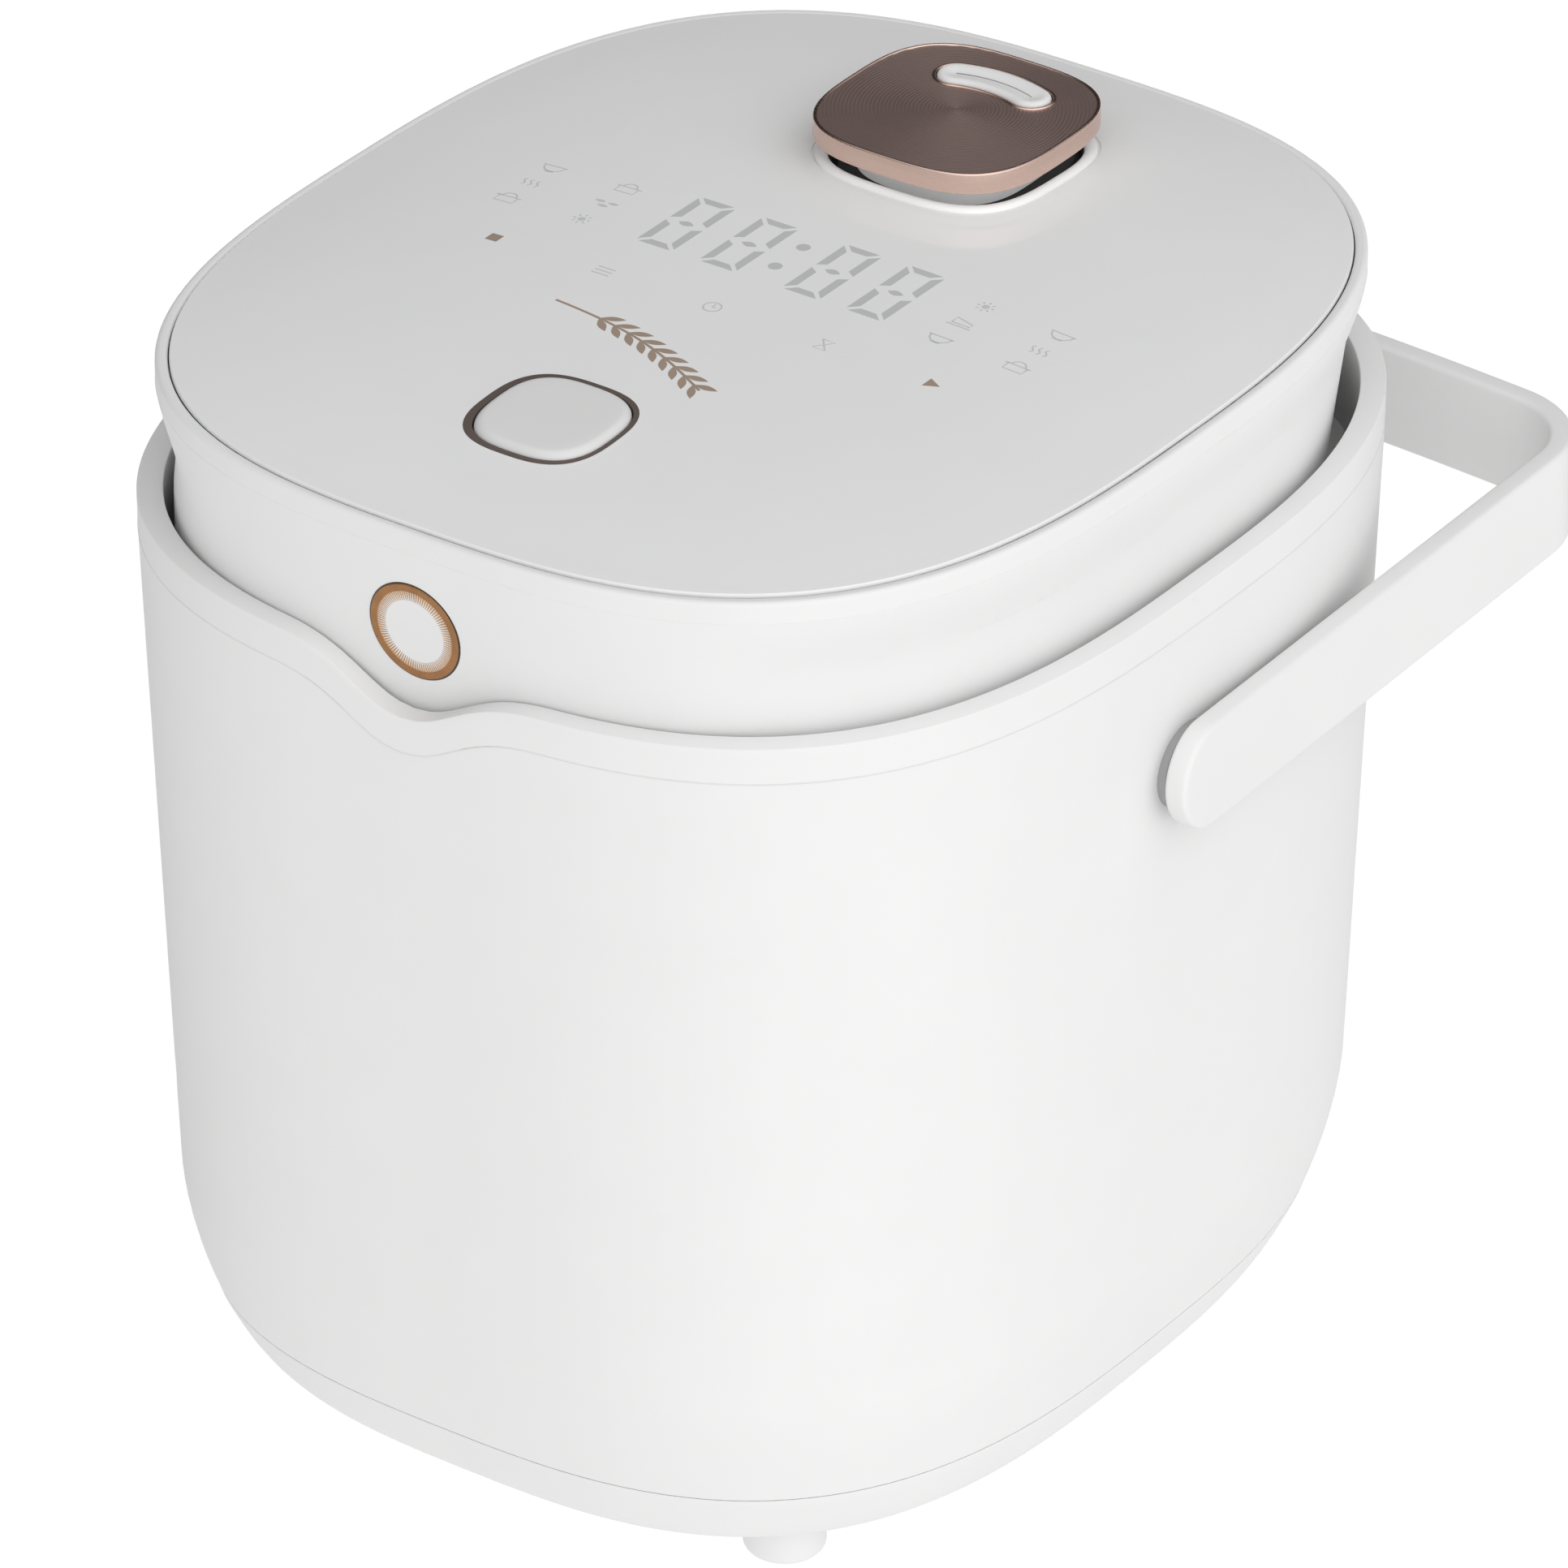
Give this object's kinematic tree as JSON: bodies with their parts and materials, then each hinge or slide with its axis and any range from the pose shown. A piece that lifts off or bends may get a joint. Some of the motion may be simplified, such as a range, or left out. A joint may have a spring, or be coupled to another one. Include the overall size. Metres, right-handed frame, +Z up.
{
  "type": "rice cooker",
  "caption": "Rounded white rice cooker with a crowned touch panel, hinged lid, press button, lift-out steam cap and a strap handle folded to the back.",
  "frame": {"origin": "middle of the outer box on the table plane, under the feet", "axes": "+X to the right seen from the front, +Y from the front to the folded handle at the back, +Z up"},
  "size_m": [0.2446, 0.289, 0.2672],
  "materials": {
    "white_plastic": "satin, fine grain",
    "panel_white": "glossy, smooth",
    "rose_bronze": "satin rose gold",
    "dark_bronze": "satin dark bronze",
    "dark_plastic": "satin",
    "smoke_display": "smooth",
    "circuit_board": "solder resist",
    "pot_coating": "non-stick coating",
    "cast_aluminium": "cast, machined top",
    "sheet_steel": "rolled sheet",
    "spring_steel": "drawn wire",
    "nickel": "plated",
    "silicone": "soft, translucent white",
    "black_rubber": "matt"
  },
  "bodies": {
    "body": {"outer_shell": "white_plastic", "collar": "white_plastic", "deck_ring": "white_plastic", "base_tray": "white_plastic", "foot_front_left": "white_plastic", "foot_front_right": "white_plastic", "foot_rear_left": "white_plastic", "foot_rear_right": "white_plastic", "foot_pads": "black_rubber", "base_screws": "nickel", "heat_bucket": "sheet_steel", "inner_pot": "pot_coating", "heater_plate": "cast_aluminium", "heating_element": "sheet_steel", "heater_posts": "nickel", "sensor_sleeve": "sheet_steel", "sensor_spring": "spring_steel", "power_board": "circuit_board", "transformer": "dark_plastic", "relay": "dark_plastic", "terminal_block": "white_plastic", "thermal_fuse": "sheet_steel", "power_inlet": "dark_plastic", "inlet_pins": "nickel", "latch_catch": "dark_plastic", "hinge_bracket": "white_plastic", "hinge_pin": "nickel", "hinge_spring": "spring_steel", "pivot_pin_left": "nickel", "pivot_pin_right": "nickel", "pivot_boss_left": "dark_plastic", "pivot_boss_right": "dark_plastic"},
    "lid": {"lid_shell": "white_plastic", "top_panel": "panel_white", "lid_base": "white_plastic", "inner_lid": "cast_aluminium", "lid_gasket": "silicone", "inner_lid_grommet": "silicone", "button_bezel": "dark_bronze", "emblem_ring": "rose_bronze", "emblem_disc": "white_plastic", "vent_socket": "white_plastic", "vent_seal": "silicone", "display_board": "circuit_board", "digit_display": "smoke_display", "touch_springs": "spring_steel", "lid_screws": "nickel", "latch_pin": "nickel", "button_spring": "spring_steel", "latch_spring": "spring_steel"},
    "button": {"open_button": "white_plastic"},
    "latch": {"latch_lever": "dark_plastic"},
    "steam_cap": {"vent_cap_cover": "rose_bronze", "vent_cap_body": "white_plastic", "vent_slot_insert": "white_plastic", "vent_cap_gasket": "silicone"},
    "sensor": {"sensor_cap": "cast_aluminium"},
    "handle": {"carry_handle": "white_plastic"}
  },
  "joints": [
    {"name": "lid_swing", "type": "hinge", "parent": "body", "child": "lid", "pos_m": [0, 0.12345, 0.2234], "axis": [-1, 0, 0], "range_deg": [0, 90]},
    {"name": "handle_swing", "type": "hinge", "parent": "body", "child": "handle", "pos_m": [0, -0.02255, 0.1792], "axis": [1, 0, 0], "range_deg": [0, 90]},
    {"name": "button_press", "type": "slide", "parent": "lid", "child": "button", "axis": [0, 0, -1], "range_m": [0, 0.0025], "stiffness_N_per_m": 600, "springref_m": -0.002, "deforming": ["button_spring"]},
    {"name": "latch_turn", "type": "hinge", "parent": "lid", "child": "latch", "pos_m": [0, -0.12355, 0.2254], "axis": [-1, 0, 0], "range_deg": [0, 5.2], "deforming": ["latch_spring"]},
    {"name": "vent_lift", "type": "slide", "parent": "lid", "child": "steam_cap", "axis": [0, 0, 1], "range_m": [0, 0.03]},
    {"name": "sensor_travel", "type": "slide", "parent": "body", "child": "sensor", "axis": [0, 0, -1], "range_m": [0, 0.0025], "stiffness_N_per_m": 400, "springref_m": -0.002, "deforming": ["sensor_spring"]}
  ],
  "couplings": [
    {"joint": "latch_turn", "follows": "button_press", "rad_per_m": 34.907}
  ]
}
